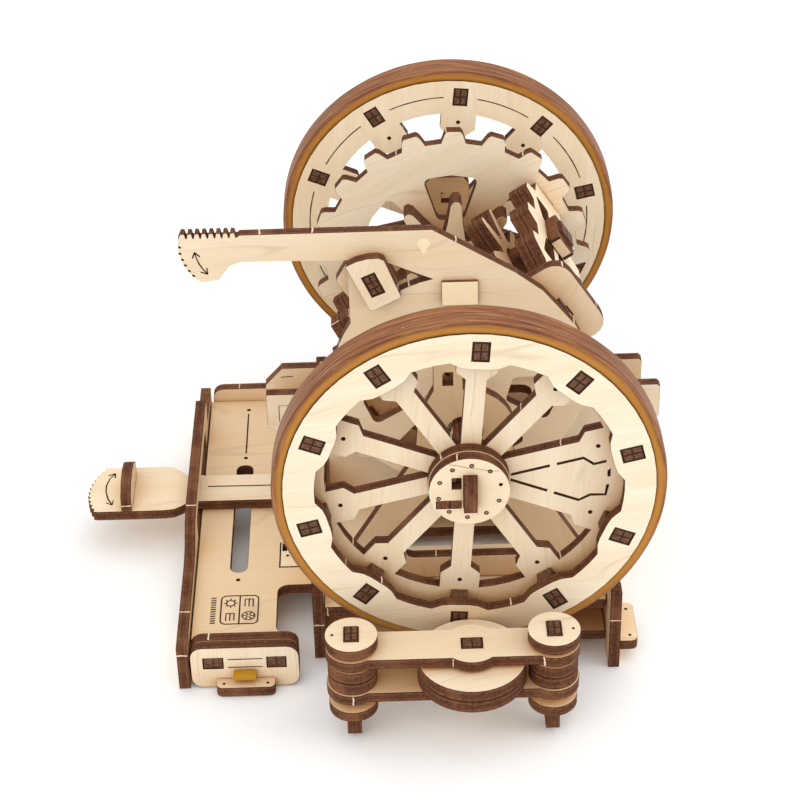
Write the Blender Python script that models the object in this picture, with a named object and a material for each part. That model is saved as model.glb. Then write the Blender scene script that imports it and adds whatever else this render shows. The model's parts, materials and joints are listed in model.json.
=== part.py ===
"""Plywood differential demonstrator: two spoked wheels on one axle line, a ring gear with a cage of
petal gears between them, two hand levers, a side tray and a roller truck in front of the near wheel.

Each plate is one 3 mm ply sheet. Plates are drawn in millimetres as outlines and extruded; the finished
objects are in metres, +Z up, with the origin under the middle of the bounding box at ground level.
"""

import math

import bmesh
import bpy
from mathutils import Vector
from mathutils.geometry import tessellate_polygon

MM = 0.001
T = 3.0                      # sheet thickness
GAP = 0.3                    # air between neighbouring sheets
AXLE_Z = 66.0                # axle height above the ground
X_OFF = 25.494               # drawing origin to object origin
Y_OFF = -59.075

R_TYRE = 49.5
R_TYRE_IN = 46.9
R_RING = 46.6
R_RING_IN = 38.6
R_HOLES = 41.5
R_HUB_SMALL = 10.1
R_HUB_BIG = 10.3
R_WINDOW_IN = 9.8
R_WINDOW_OUT = 36.3
SPOKES = 10
SPOKE_HALF = 2.55
SPOKE_FLARE = 5.1
PIN_RADIAL = 5.6
PIN_WIDE = 4.3
AXLE_HALF = 3.0
BORE = 4.7
BLADE = (-1.5, -4.95, 1.9, 5.05)
BLADE_REACH = 2.4            # how far the axle's blade stands proud of the hub
KEY = (-8.3, -5.1, -2.05, -2.7)
KEY_BACK = 3.2               # depth of blade and key behind the hub's face
HUB_EYE = (7.77, 1.94)       # the one small through hole in an outer hub disc

FRONT_FACE = 0.0
REAR_FACE = 134.35
LAYER = T + GAP
WHEEL_WIDTH = 2 * T + T + 2 * GAP
FRONT_PHASE = 0.069
REAR_PHASE = 0.091

CAGE_TILT = math.radians(33.0)
DIFF_Y = 91.0
GEAR_Y = 115.0
GEAR_TEETH = 20
R_GEAR = 40.3
R_GEAR_ROOT = 36.6
SIDE_TEETH = 10
SPIDER_TEETH = 8
R_SIDE = 24.2
R_SPIDER = 17.9
SIDE_NEAR = 13.0             # differential centre to the near face of a side gear
SPIDER_IN = 14.6             # axle to the inner face of a spider gear

LEVER_Y = 50.0
SHOE = (-22.6, 32.3)          # centre of the brake shoe on the upper lever
FRONT_BAR_Y = 57.0
LEVER_X = -48.4
TRAY_Z = -57.7
LOCK = (-50.8, 40.6, -45.4, 51.1)
R_EAR = 37.2                 # arc cut out of the ear plates
DECK_Z = -51.3
LOW_DECK_Z = -62.1
TRUCK_Y = -14.3
TRUCK_TOP = -33.1
POST_FOOT = -64.2            # the truck hangs from its tie, just clear of the ground
POST_X = (-30.6, 20.6)
ROLLER_X = -0.15
R_ROLLER = 13.9
LINK_HALF = 5.5
LINK_LOBE = 7.4
PAIR = 7.4                   # room for two glued sheets between the truck's links

PLY = (0.78, 0.62, 0.43)
RUBBER = (0.55, 0.33, 0.12)


def clear_scene():
    for item in list(bpy.data.objects):
        bpy.data.objects.remove(item, do_unlink=True)


def make_material(name, colour, rough):
    mat = bpy.data.materials.new(name)
    mat.use_nodes = True
    shader = mat.node_tree.nodes["Principled BSDF"]
    shader.inputs["Base Color"].default_value = (*colour, 1.0)
    shader.inputs["Roughness"].default_value = rough
    shader.inputs["Metallic"].default_value = 0.0
    return mat


def circle(radius, count, centre=(0.0, 0.0), phase=0.0):
    points = []
    for i in range(count):
        a = phase + 2 * math.pi * i / count
        points.append((centre[0] + radius * math.cos(a), centre[1] + radius * math.sin(a)))
    return points


def arc(radius, start, end, count, centre=(0.0, 0.0)):
    points = []
    for i in range(count + 1):
        a = start + (end - start) * i / count
        points.append((centre[0] + radius * math.cos(a), centre[1] + radius * math.sin(a)))
    return points


def box(x0, y0, x1, y1):
    return [(x0, y0), (x1, y0), (x1, y1), (x0, y1)]


def fillet(points, radii, steps=3):
    """Round the corners of a closed outline; radii is one number or one per corner."""
    if not isinstance(radii, (list, tuple)):
        radii = [radii] * len(points)
    result = []
    count = len(points)
    for i, corner in enumerate(points):
        radius = radii[i]
        here = Vector(corner)
        before = Vector(points[i - 1]) - here
        after = Vector(points[(i + 1) % count]) - here
        if radius <= 0.0 or before.length < 1e-6 or after.length < 1e-6:
            result.append(tuple(here))
            continue
        half = before.angle(after) / 2
        if half > math.pi / 2 - 0.02:
            result.append(tuple(here))
            continue
        reach = min(radius / math.tan(half), 0.49 * before.length, 0.49 * after.length)
        radius = reach * math.tan(half)
        first = here + before.normalized() * reach
        last = here + after.normalized() * reach
        centre = here + (before.normalized() + after.normalized()).normalized() * (radius / math.sin(half))
        a0 = math.atan2(first.y - centre.y, first.x - centre.x)
        a1 = math.atan2(last.y - centre.y, last.x - centre.x)
        turn = (a1 - a0 + math.pi) % (2 * math.pi) - math.pi
        for k in range(steps + 1):
            a = a0 + turn * k / steps
            result.append((centre.x + radius * math.cos(a), centre.y + radius * math.sin(a)))
    return result


def turned(points, angle, centre=(0.0, 0.0)):
    c = math.cos(angle)
    s = math.sin(angle)
    return [(centre[0] + x * c - y * s, centre[1] + x * s + y * c) for x, y in points]


def place(plane, u, v, w):
    if plane == "Z":
        return (u, v, w)
    if plane == "Y":
        return (u, w, v)
    return (w, u, v)


def add_slab(bm, outline, holes, plane, start, thick):
    """Add one extruded outline with holes to bm, as a closed shell."""
    loops = [outline] + list(holes)
    flat = [[Vector((u, v, 0.0)) for u, v in loop] for loop in loops]
    triangles = tessellate_polygon(flat)
    low = []
    high = []
    for loop in loops:
        for u, v in loop:
            low.append(bm.verts.new(place(plane, u, v, start)))
            high.append(bm.verts.new(place(plane, u, v, start + thick)))
    for a, b, c in triangles:
        bm.faces.new((low[a], low[b], low[c]))
        bm.faces.new((high[c], high[b], high[a]))
    base = 0
    for loop in loops:
        n = len(loop)
        for i in range(n):
            j = (i + 1) % n
            bm.faces.new((low[base + i], low[base + j], high[base + j], high[base + i]))
        base += n


def finish(name, bm, colour, rough, pivot=(0.0, 0.0, 0.0), parent=None, smooth=None):
    bmesh.ops.recalc_face_normals(bm, faces=bm.faces[:])
    mesh = bpy.data.meshes.new(name)
    centre = Vector(pivot)
    for vert in bm.verts:
        vert.co = (vert.co - centre) * MM
    bm.to_mesh(mesh)
    bm.free()
    obj = bpy.data.objects.new(name, mesh)
    bpy.context.scene.collection.objects.link(obj)
    if parent is None:
        obj.location = world_point(pivot)
    else:
        obj.parent = parent
        obj.location = centre * MM
    mesh.materials.append(make_material(name, colour, rough))
    if smooth is not None:
        mesh.shade_smooth()
        mesh.set_sharp_from_angle(angle=math.radians(smooth))
    return obj


def world_point(p):
    return Vector((p[0] + X_OFF, p[1] + Y_OFF, p[2] + AXLE_Z)) * MM


def sheet(name, outline, holes, plane, start, thick=T, pivot=(0.0, 0.0, 0.0), parent=None, colour=PLY):
    bm = bmesh.new()
    add_slab(bm, outline, holes, plane, start, thick)
    return finish(name, bm, colour, 0.62, pivot, parent)


def stack(name, layers, plane, pivot=(0.0, 0.0, 0.0), parent=None, colour=PLY):
    """A pin or block whose outline changes along its length: layers are (outline, start, thick)."""
    bm = bmesh.new()
    add_slab(bm, layers[0][0], [], plane, layers[0][1], layers[0][2])
    obj = finish(name, bm, colour, 0.62, pivot, parent)
    for outline, start, thick in layers[1:]:
        extra = bmesh.new()
        add_slab(extra, outline, [], plane, start, thick)
        weld(obj, extra, pivot)
    return obj


def weld(obj, bm, pivot):
    """Boolean union of a shell drawn in millimetres into obj."""
    bmesh.ops.recalc_face_normals(bm, faces=bm.faces[:])
    mesh = bpy.data.meshes.new(obj.name + "_add")
    centre = Vector(pivot)
    for vert in bm.verts:
        vert.co = (vert.co - centre) * MM
    bm.to_mesh(mesh)
    bm.free()
    tool = bpy.data.objects.new(obj.name + "_add", mesh)
    bpy.context.scene.collection.objects.link(tool)
    tool.parent = obj.parent
    tool.location = obj.location
    tool.hide_render = True
    tool.display_type = "WIRE"
    mod = obj.modifiers.new("join", "BOOLEAN")
    mod.operation = "UNION"
    mod.solver = "EXACT"
    mod.object = tool
    return tool


def empty(name, point, rotation=(0.0, 0.0, 0.0)):
    obj = bpy.data.objects.new(name, None)
    bpy.context.scene.collection.objects.link(obj)
    obj.location = world_point(point)
    obj.rotation_euler = rotation
    return obj


def clock(radius, angle):
    """Point on a wheel face: angle runs clockwise from the top, seen from the front."""
    return (radius * math.sin(angle), radius * math.cos(angle))


def clock_box(radius, angle, radial, wide):
    """Rectangle centred on a wheel radius, long side along the radius."""
    c = clock(1.0, angle)
    t = (math.cos(angle), -math.sin(angle))
    corners = []
    for sr, st in ((-1, -1), (-1, 1), (1, 1), (1, -1)):
        r = radius + sr * radial / 2
        corners.append((r * c[0] + st * wide / 2 * t[0], r * c[1] + st * wide / 2 * t[1]))
    return corners


def ring_outline(phase):
    """Inner edge of a rim ring: a circle with a rounded pad at every pin."""
    points = []
    pitch = 2 * math.pi / SPOKES
    pad = 5.6 / R_RING_IN
    for i in range(SPOKES):
        a = phase + i * pitch
        half = [(pad * 0.45, 2.1), (pad * 0.86, 1.6), (pad + 0.045, 0.0)]
        for da, inset in half[::-1]:
            points.append(clock(R_RING_IN - inset, a - da))
        for da, inset in half:
            points.append(clock(R_RING_IN - inset, a + da))
        for k in (1, 2):
            points.append(clock(R_RING_IN, a + pad + 0.045 + (pitch - 2 * pad - 0.09) * k / 3))
    return points


def spoke_edge(radius, offset, angle, side):
    """Point at a distance offset beside the spoke's centre line."""
    a = math.asin(offset / radius)
    return clock(radius, angle + side * a)


def window(angle):
    """Opening between the spokes at angle and angle + one pitch."""
    pitch = 2 * math.pi / SPOKES
    right = angle + pitch
    points = []
    for r, off in ((R_WINDOW_IN, SPOKE_HALF), (29.2, SPOKE_HALF), (31.6, SPOKE_FLARE), (33.2, SPOKE_FLARE)):
        points.append(spoke_edge(r, off, angle, 1))
    a0 = angle + math.asin(SPOKE_FLARE / R_WINDOW_OUT)
    a1 = right - math.asin(SPOKE_FLARE / R_WINDOW_OUT)
    for k in range(4):
        points.append(clock(R_WINDOW_OUT, a0 + (a1 - a0) * k / 3))
    for r, off in ((33.2, SPOKE_FLARE), (31.6, SPOKE_FLARE), (29.2, SPOKE_HALF), (R_WINDOW_IN, SPOKE_HALF)):
        points.append(spoke_edge(r, off, right, -1))
    return points


def strip(points, wide):
    """Closed outline of a narrow slot along an open line of points."""
    left = []
    right = []
    for i, p in enumerate(points):
        a = Vector(points[max(i - 1, 0)])
        b = Vector(points[min(i + 1, len(points) - 1)])
        d = (b - a).normalized()
        n = Vector((-d.y, d.x)) * wide / 2
        left.append((p[0] + n.x, p[1] + n.y))
        right.append((p[0] - n.x, p[1] - n.y))
    return left + right[::-1]


def leftover_slots(angle):
    """Five cut lines that leave the window's waste piece hanging on its bridges."""
    pitch = 2 * math.pi / SPOKES
    right = angle + pitch
    w = 0.8
    lines = []
    near = [spoke_edge(r, SPOKE_HALF, angle, 1) for r in (10.7, 20.6)]
    lines.append(near)
    near = [spoke_edge(22.4, SPOKE_HALF, angle, 1), spoke_edge(29.2, SPOKE_HALF, angle, 1)]
    near.append(spoke_edge(31.6, SPOKE_FLARE, angle, 1))
    near.append(spoke_edge(34.8, SPOKE_FLARE, angle, 1))
    lines.append(near)
    mid = (angle + right) / 2
    lines.append([clock(35.4, mid - 0.10), clock(35.4, mid - 0.03)])
    far = [clock(35.4, mid + 0.04), clock(35.4, mid + 0.13)]
    far.append(spoke_edge(31.6, SPOKE_FLARE, right, -1))
    far.append(spoke_edge(29.2, SPOKE_HALF, right, -1))
    far.append(spoke_edge(22.4, SPOKE_HALF, right, -1))
    lines.append(far)
    lines.append([spoke_edge(20.6, SPOKE_HALF, right, -1), spoke_edge(10.7, SPOKE_HALF, right, -1)])
    return [strip(line, w) for line in lines]


def tyre(name, start, pivot):
    bm = bmesh.new()
    wide = WHEEL_WIDTH
    profile = [
        (R_TYRE_IN, 0.0), (R_TYRE - 0.5, 0.0), (R_TYRE, 0.7),
        (R_TYRE, wide - 0.7), (R_TYRE - 0.5, wide), (R_TYRE_IN, wide),
    ]
    count = 60
    rings = []
    for i in range(count):
        a = 2 * math.pi * i / count
        rings.append([bm.verts.new((r * math.sin(a), start + y, r * math.cos(a))) for r, y in profile])
    for i in range(count):
        here = rings[i]
        there = rings[(i + 1) % count]
        for k in range(len(profile)):
            m = (k + 1) % len(profile)
            bm.faces.new((here[k], here[m], there[m], there[k]))
    return finish(name, bm, RUBBER, 0.4, pivot, smooth=40)


def wheel(side, face, phase, outward, leftover):
    """One wheel. face is the y of its low side; outward is -1 when the rim ring is on the low side."""
    pivot = (0.0, face, 0.0)
    pitch = 2 * math.pi / SPOKES
    angles = [phase + i * pitch for i in range(SPOKES)]
    ring_y = face if outward < 0 else face + 2 * LAYER
    plate_y = face + 2 * LAYER if outward < 0 else face
    tyre(side + "_tyre", face, pivot)
    pin_holes = [clock_box(R_HOLES, a, PIN_RADIAL, PIN_WIDE) for a in angles]
    ring = circle(R_RING, 60)
    sheet(side + "_rim_ring", ring, [ring_outline(phase)] + pin_holes, "Y", ring_y, pivot=pivot)
    holes = list(pin_holes)
    for i, a in enumerate(angles):
        holes.append(circle(0.65, 6, clock(33.4, a)))
        if leftover is not None and i == leftover:
            holes.extend(leftover_slots(a))
        else:
            holes.append(window(a))
    holes.append(square_bar(0.15))
    sheet(side + "_spoke_plate", ring, holes, "Y", plate_y, pivot=pivot)
    bm = bmesh.new()
    add_slab(bm, circle(46.4, 60), [circle(43.6, 60)], "Y", face + LAYER, T)
    spacer = finish(side + "_rim_pins", bm, PLY, 0.62, pivot)
    pins = bmesh.new()
    for a in angles:
        add_slab(pins, clock_box(R_HOLES, a, PIN_RADIAL - 0.3, PIN_WIDE - 0.3), [], "Y",
                 face + 0.1, WHEEL_WIDTH - 0.2)
    weld(spacer, pins, pivot)
    sheet(side + "_hub_disc_inner", circle(R_HUB_BIG, 40), [square_bar(0.15)], "Y", face + LAYER, pivot=pivot)
    marks = [grown(BLADE, 0.1), grown(KEY, 0.1), box(-4.45, 0.76, -1.95, 4.36), circle(0.55, 8, HUB_EYE)]
    sheet(side + "_hub_disc_outer", circle(R_HUB_SMALL, 40), marks, "Y", ring_y, pivot=pivot)


def square_bar(air):
    half = AXLE_HALF + air
    return box(-half, -half, half, half)


def grown(corners, air):
    x0, z0, x1, z1 = corners
    return box(x0 - air, z0 - air, x1 + air, z1 + air)


def petal_outline(radius, teeth, root, half_root, half_mid, phase):
    """Flat gear whose teeth are long rounded petals."""
    points = []
    for i in range(teeth):
        a = phase + 2 * math.pi * i / teeth
        tip = radius - 1.5
        shape = [
            (root, -half_root), (root + 0.45 * (radius - root), -half_mid), (tip, -half_mid * 0.72),
            (radius - 0.3, -half_mid * 0.32), (radius - 0.3, half_mid * 0.32),
            (tip, half_mid * 0.72), (root + 0.45 * (radius - root), half_mid), (root, half_root),
        ]
        points.extend(turned(shape, a))
    return points


def gear_outline():
    points = []
    pitch = 2 * math.pi / GEAR_TEETH
    first = math.radians(90 - 1.5)
    for i in range(GEAR_TEETH):
        a = first + i * pitch
        points.append(turned([(R_GEAR_ROOT, -3.5)], a)[0])
        points.append(turned([(R_GEAR - 0.9, -2.6)], a)[0])
        points.append(turned([(R_GEAR, -1.9)], a)[0])
        points.append(turned([(R_GEAR, 1.9)], a)[0])
        points.append(turned([(R_GEAR - 0.9, 2.6)], a)[0])
        points.append(turned([(R_GEAR_ROOT, 3.5)], a)[0])
    return points


def gear_window(angle, half, inner, outer):
    points = [
        (inner * math.cos(-half), inner * math.sin(-half)),
        (outer * math.cos(-half), outer * math.sin(-half)),
        (outer, 0.0),
        (outer * math.cos(half), outer * math.sin(half)),
        (inner * math.cos(half), inner * math.sin(half)),
    ]
    return turned(fillet(points, [1.5, 1.6, 0, 1.6, 1.5], 3), angle)


def build_wheels():
    wheel("front", FRONT_FACE, FRONT_PHASE, -1, 2)
    wheel("rear", REAR_FACE, REAR_PHASE, 1, None)
    pivot = (0.0, FRONT_FACE, 0.0)
    shaft_end = T + 0.05
    stack("front_axle", [
        (square_bar(0.0), shaft_end, DIFF_Y - 8.0 - shaft_end),
        (grown(BLADE, 0.0), -BLADE_REACH, BLADE_REACH + KEY_BACK),
        (grown(KEY, 0.0), 0.1, KEY_BACK - 0.1),
    ], "Y", pivot)
    pivot = (0.0, REAR_FACE, 0.0)
    far = REAR_FACE + WHEEL_WIDTH
    stack("rear_axle", [
        (square_bar(0.0), DIFF_Y + 8.0, far - shaft_end - DIFF_Y - 8.0),
        (grown(BLADE, 0.0), far - KEY_BACK, BLADE_REACH + KEY_BACK),
        (grown(KEY, 0.0), far - KEY_BACK, KEY_BACK - 0.1),
    ], "Y", pivot)


def build_side_gears():
    bore = [square_bar(0.15)]
    phase = CAGE_TILT + math.pi / SIDE_TEETH
    shape = petal_outline(R_SIDE, SIDE_TEETH, 11.4, 3.2, 2.2, phase)
    near_y = DIFF_Y - SIDE_NEAR - 2 * T
    sheet("front_side_gear", shape, bore, "Y", near_y, 2 * T, pivot=(0.0, FRONT_FACE, 0.0))
    sheet("rear_side_gear", shape, bore, "Y", DIFF_Y + SIDE_NEAR, 2 * T, pivot=(0.0, REAR_FACE, 0.0))


def build_cage():
    """Everything that turns with the ring gear; drawn with the spider axle along X, then tilted."""
    ring_pivot = (0.0, GEAR_Y, 0.0)
    windows = []
    for i in range(6):
        windows.append(gear_window(math.radians(90 + 60 * i), math.radians(17.5), 12.6, 26.4))
    struts = [(30.2, 0.0), (-30.2, 0.0)]
    frame = empty("cage_axis", (0.0, DIFF_Y, 0.0), (0.0, -CAGE_TILT, 0.0))
    local_gear = turned(gear_outline(), -CAGE_TILT)
    local_windows = [turned(w, -CAGE_TILT) for w in windows]
    tenons = [box(x - 3.15, z - 2.65, x + 3.15, z + 2.65) for x, z in struts]
    sheet("ring_gear", local_gear, [circle(BORE, 24)] + local_windows + tenons, "Y", GEAR_Y - DIFF_Y,
          parent=frame)
    front_y = FRONT_BAR_Y - DIFF_Y
    half_bar = [(27.0, -6.4), (27.6, -12.6), (40.0, -12.6), (40.0, 12.6), (27.6, 12.6), (27.0, 6.4)]
    bar = fillet(half_bar + [(-x, -z) for x, z in half_bar], [3.0, 5.0, 5.0, 5.0, 5.0, 3.0] * 2, 4)
    sheet("cage_front_bar", bar, [circle(BORE, 24)] + tenons, "Y", front_y, parent=frame)
    for name, s in (("a", 1.0), ("b", -1.0)):
        x0 = 27.2 if s > 0 else -33.2
        back_y = GEAR_Y - DIFF_Y
        half_side = [
            (front_y - 0.2, 2.5), (front_y + 3.3, 2.5), (front_y + 3.3, 5.6), (-20.0, 7.4), (-15.4, 12.2),
            (-12.2, 12.8), (-10.0, 9.4), (-4.0, 9.4), (-2.2, 13.6), (2.2, 13.6), (4.0, 9.4),
            (10.0, 9.4), (12.2, 12.8), (15.4, 12.2), (17.4, 7.4), (back_y - 0.3, 6.4), (back_y - 0.3, 2.5),
            (back_y + T + 0.2, 2.5),
        ]
        tall = half_side + [(y, -z) for y, z in half_side[::-1]]
        openings = [box(-3.15, -3.15, 3.15, 3.15)]
        shapes = [
            [(5.2, -1.2), (5.2, -5.0), (14.8, -7.6), (14.8, -1.2)],
            [(5.2, 1.2), (14.8, 1.2), (14.8, 7.6), (5.2, 5.0)],
            [(-5.2, -1.2), (-15.2, -1.2), (-15.2, -7.4), (-5.2, -5.0)],
            [(-5.2, 1.2), (-5.2, 5.0), (-15.2, 7.4), (-15.2, 1.2)],
            [(-18.0, -3.8), (-18.0, 3.8), (front_y + 6.4, 2.6), (front_y + 6.4, -2.6)],
        ]
        for shape in shapes:
            openings.append(fillet(shape, 0.8, 2))
        sheet("cage_strut_" + name, tall, openings, "X", x0, 2 * T, parent=frame)
        pin_start = 13.6 if s > 0 else -37.4
        cap = fillet([(-6.0, -4.4), (6.0, -4.4), (6.0, 4.4), (-6.0, 4.4)], 1.6, 3)
        stack("spider_axle_" + name, [
            (cap, 33.5 if s > 0 else -36.5, T),
            (box(-3.0, -3.0, 3.0, 3.0), pin_start, 23.8),
        ], "X", parent=frame)
        gear_x = SPIDER_IN if s > 0 else -SPIDER_IN - 2 * T
        shape = petal_outline(R_SPIDER, SPIDER_TEETH, 7.6, 2.3, 1.8, 0.0)
        sheet("spider_gear_" + name, shape, [circle(BORE, 20)], "X", gear_x, 2 * T, parent=frame)


def build_upper_lever():
    pivot = (0.0, LEVER_Y, 0.0)
    disc = arc(34.4, math.radians(28), math.radians(-213), 40)
    outline = [
        (-29.2, 38.0), (-56.5, 38.4), (-59.6, 37.2), (-62.4, 33.2), (-67.2, 32.6),
        (-69.6, 35.0), (-71.4, 38.2), (-72.3, 41.6), (-72.2, 45.2),
    ]
    teeth = 8
    for i in range(teeth):
        x = -71.4 + 14.6 * i / teeth
        outline.append((x, 46.9))
        outline.append((x + 0.9, 46.9))
        outline.append((x + 1.2, 45.6))
        outline.append((x + 1.55, 45.6))
    outline += [(-56.4, 46.2), (-7.2, 46.3), (14.3, 32.9), (21.6, 27.1)]
    outline = outline + disc
    gap = [(-21.5, 38.2), (-6.9, 31.6)]
    gap += arc(32.4, math.radians(102.5), math.radians(129.5), 4)
    hole = circle(BORE + 0.3, 24)
    pin = turned(box(-1.9, -3.3, 1.9, 3.3), math.radians(24), SHOE)
    windows = []
    for i in range(4):
        a = math.radians(-15 - 50 * i)
        windows.append(gear_window(a, math.radians(16), 14.0, 27.0))
    sheet("upper_lever", outline, [gap[::-1], hole, pin] + windows, "Y", LEVER_Y, pivot=pivot)
    block = [(-4.1, -7.1), (5.0, -6.5), (5.7, 5.4), (4.6, 6.7), (2.0, 7.7), (-1.0, 8.2), (-4.1, 8.0)]
    block = fillet(block, [0.9, 0.6, 0.3, 0.3, 0.0, 0.0, 0.4], 2)
    block = turned(block, math.radians(24), SHOE)
    sheet("upper_lever_shoe", block, [pin], "Y", LEVER_Y - LAYER, pivot=pivot)
    back = [(-8.6, -8.2), (4.8, -6.4), (4.8, 5.6), (-5.0, 5.6), (-10.0, 1.8)]
    back = turned(fillet(back, 1.3, 3), math.radians(24), SHOE)
    peg = turned(box(-1.7, -3.1, 1.7, 3.1), math.radians(24), SHOE)
    stack("upper_lever_shoe_rear", [
        (back, LEVER_Y + LAYER, T),
        (peg, LEVER_Y - LAYER, 2 * LAYER + T - 0.4),
    ], "Y", pivot=pivot)
    pad = box(-4.9, 24.2, 4.6, 31.4)
    sheet("upper_lever_pad", pad, [], "Y", LEVER_Y - 1.3, 1.0, pivot=pivot)


def build_lower_lever():
    pivot_x = LEVER_X
    mid = 73.0
    pivot = (pivot_x, mid, 0.0)
    top = TRAY_Z + T + GAP
    outline = []
    teeth = 11
    pitch = math.radians(6.1)
    for i in range(teeth + 1):
        a = math.radians(180 - 38.6) + pitch * i
        outline.append((-88.0 + 19.0 * math.cos(a), mid + 19.0 * math.sin(a)))
        if i < teeth:
            b = a + pitch / 2
            outline.append((-88.0 + 18.3 * math.cos(b), mid + 18.3 * math.sin(b)))
    outline += [(-103.4, mid - 9.3), (-84.4, mid - 9.3), (-81.6, mid - 8.9), (-79.6, mid - 7.6)]
    outline += [(-78.0, mid - 6.1), (-76.4, mid - 5.5)]
    outline += arc(6.2, math.radians(-90), math.radians(90), 8, (pivot_x, mid + 0.7))
    outline += [(-76.4, mid + 6.9), (-79.4, mid + 7.8), (-82.0, mid + 10.8), (-84.6, mid + 11.9)]
    slot = box(-96.8, mid - 6.2, -93.6, mid + 6.2)
    sheet("lower_lever", outline, [slot, circle(2.6, 14, (pivot_x, mid))], "Z", top, pivot=pivot)
    foot = top + T + GAP
    grip = [(mid - 6.0, top - 0.1), (mid + 6.0, top - 0.1), (mid + 6.0, foot), (mid + 9.4, foot)]
    for i in range(11):
        a = math.radians(12 + 156 * i / 10)
        r = 1.0 if i % 2 else 0.94
        grip.append((mid + 9.8 * math.cos(a) * r, foot + 1.3 + 6.2 * math.sin(a) * r))
    grip += [(mid - 9.4, foot), (mid - 6.0, foot)]
    sheet("lower_lever_grip", grip, [], "X", -96.6, pivot=pivot)
    bm = bmesh.new()
    add_slab(bm, circle(2.45, 14, (pivot_x, mid)), [], "Z", TRAY_Z - 0.2, T + GAP + T + 2.6)
    pin = finish("lower_lever_pivot", bm, PLY, 0.62)
    cap = bmesh.new()
    add_slab(cap, circle(4.4, 16, (pivot_x, mid)), [], "Z", top + T + GAP, 2.0)
    weld(pin, cap, (0.0, 0.0, 0.0))


def build_tray():
    mid = 73.0
    floor = [
        (-73.9, 10.6), (-46.0, 10.6), (-46.0, 12.6), (-51.3, 12.6), (-51.3, 32.6), (-41.6, 32.6),
        (-41.6, 122.6), (-73.9, 122.6),
    ]
    floor = fillet(floor, [0.0, 0.6, 0.6, 3.0, 3.0, 0.6, 0.0, 0.0], 4)
    holes = [fillet(box(-64.75, 38.6, -59.95, 88.9), 2.3, 5)]
    for y in (35.4, 92.6, 117.7):
        holes.append(circle(0.6, 6, (-62.35, y)))
    holes.append(circle(2.7, 14, (LEVER_X, mid)))
    holes.append(grown(LOCK, 0.3))
    sheet("tray_floor", floor, holes, "Z", TRAY_Z)
    profile = [
        (4.0, -66.0), (26.0, -66.0), (30.0, -62.6), (106.0, -62.6), (110.0, -66.0), (127.4, -66.0),
        (127.4, -52.6), (108.8, -52.6), (108.8, -44.6), (57.0, -44.6), (51.0, -46.4), (45.0, -50.6),
        (39.0, -52.0), (4.0, -52.0),
    ]
    bay = fillet(box(55.0, -54.8, 99.0, -48.6), 1.0, 2)
    sheet("tray_rail_outer", profile, [bay], "X", -77.4)
    low = -65.6
    slots = [box(-70.6, -59.3, -65.2, -55.6), box(-53.7, -59.3, -48.5, -55.6)]
    sheet("tray_end_front_a", fillet(box(-73.9, low, -45.2, -52.2), 3.2, 4), slots, "Y", 4.0)
    sheet("tray_end_front_b", fillet(box(-73.9, low, -45.2, -52.2), 3.2, 4), slots, "Y", 4.0 + LAYER)
    rear = fillet(box(-73.4, low, -41.6, -50.3), [1.0, 1.0, 3.2, 3.2], 4)
    sheet("tray_end_rear", rear, slots, "Y", 122.9)
    shelf = fillet(box(-67.2, 0.0, -51.6, 3.7), [1.6, 1.6, 0.3, 0.3], 3)
    pegs = [circle(0.4, 8, (-65.2, 1.7)), circle(0.4, 8, (-53.6, 1.7))]
    sheet("tray_cradle_front", shelf, pegs, "Z", low)
    sheet("tray_bumper_front", box(-62.6, 0.9, -56.4, 3.7), [], "Z", -61.2, 1.8, colour=RUBBER)


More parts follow.
